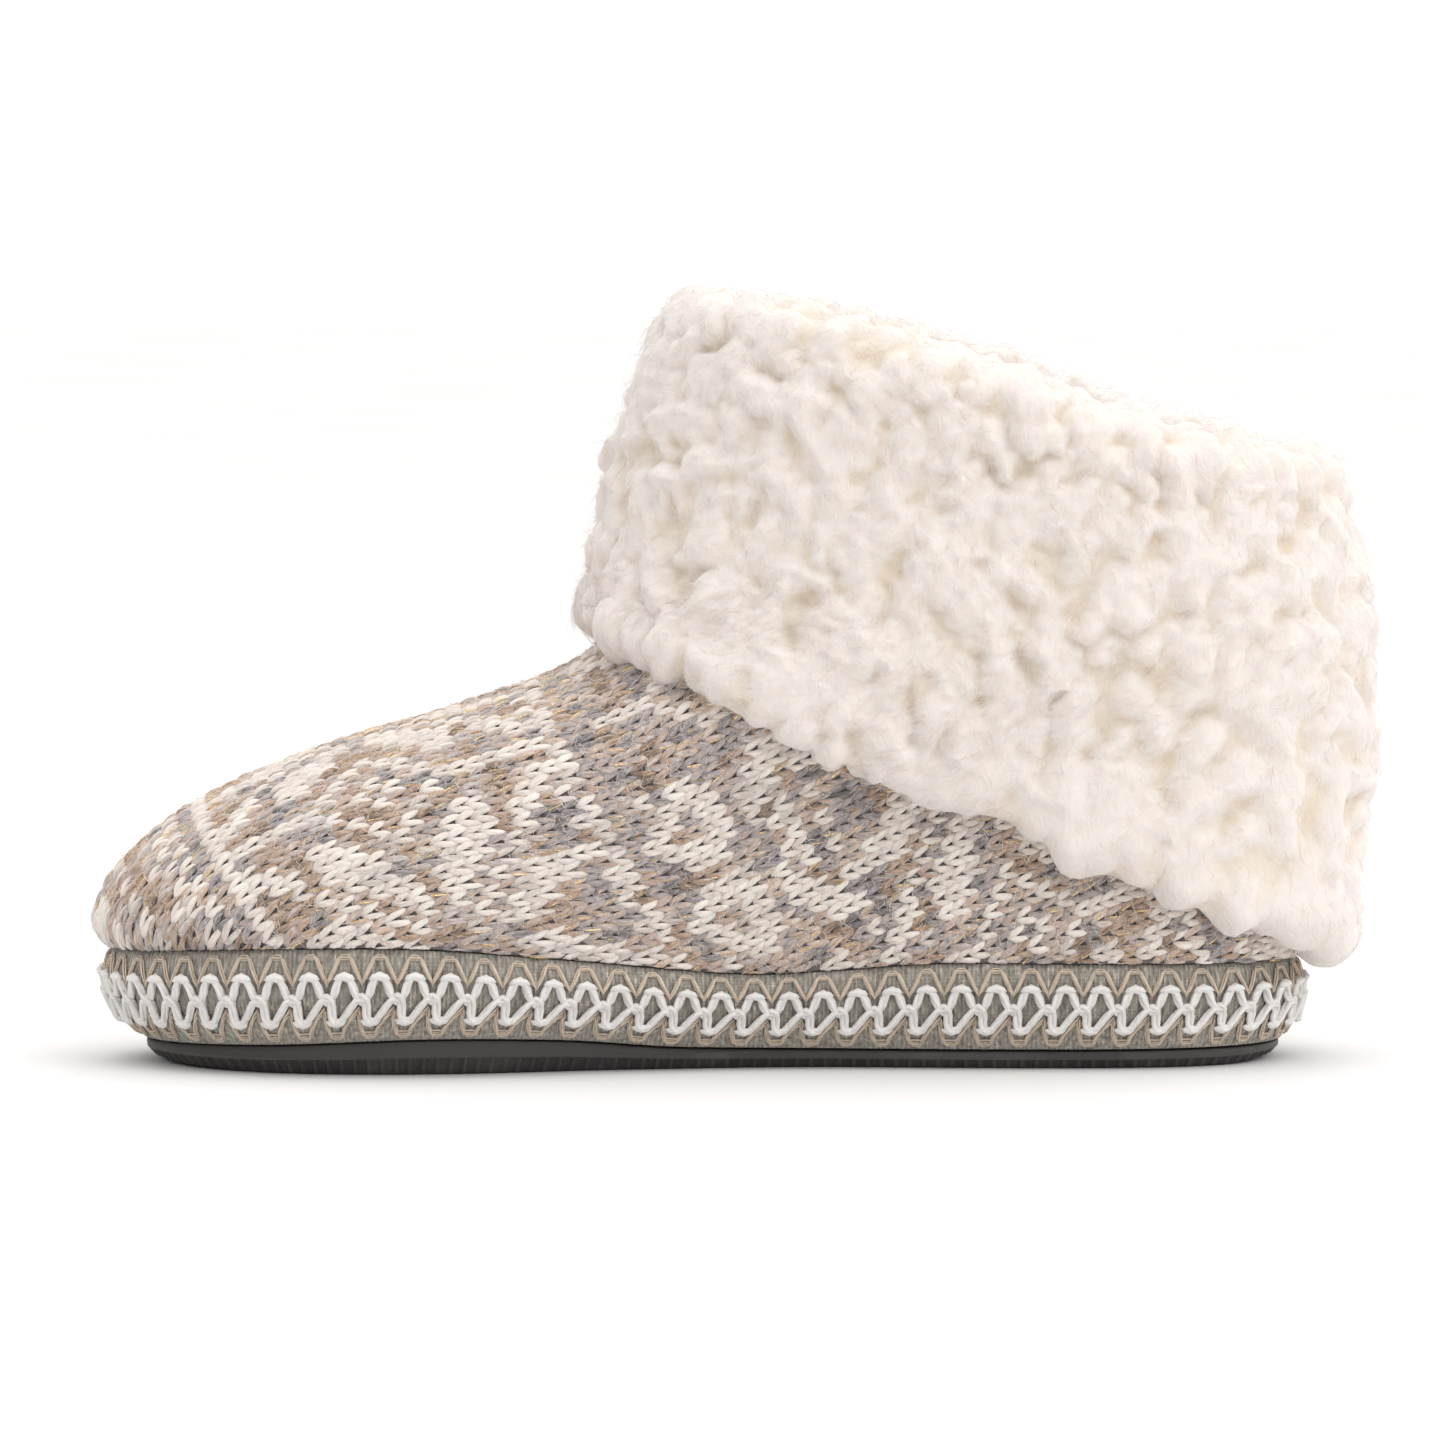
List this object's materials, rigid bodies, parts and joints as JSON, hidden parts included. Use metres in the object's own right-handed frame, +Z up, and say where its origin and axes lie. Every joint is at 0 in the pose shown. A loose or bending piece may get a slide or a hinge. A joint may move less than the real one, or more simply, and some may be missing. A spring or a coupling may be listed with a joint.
{
  "type": "slipper boot",
  "caption": "Knitted slipper boot with a soft platform, crochet edge braid, ribbed rubber outsole and a deep turned-down pile cuff, open at the ankle.",
  "frame": {"origin": "on the floor, under the middle of the platform's length", "axes": "+X towards the heel, -X towards the toe, -Y towards the inner side of the foot, +Z up"},
  "size_m": [0.2771, 0.1068, 0.1653],
  "materials": {
    "outsole": "matt black moulded rubber",
    "platform": "grey melange jersey over foam",
    "braid": "off-white and beige crochet yarn",
    "insole": "cream pile over foam",
    "upper": "cream, grey and beige jacquard knit with metallic strands",
    "cuff": "cream curly pile"
  },
  "bodies": {
    "root": {"outsole": "outsole", "platform": "platform", "braid": "braid", "insole": "insole", "upper": "upper", "cuff": "cuff"}
  },
  "joints": []
}
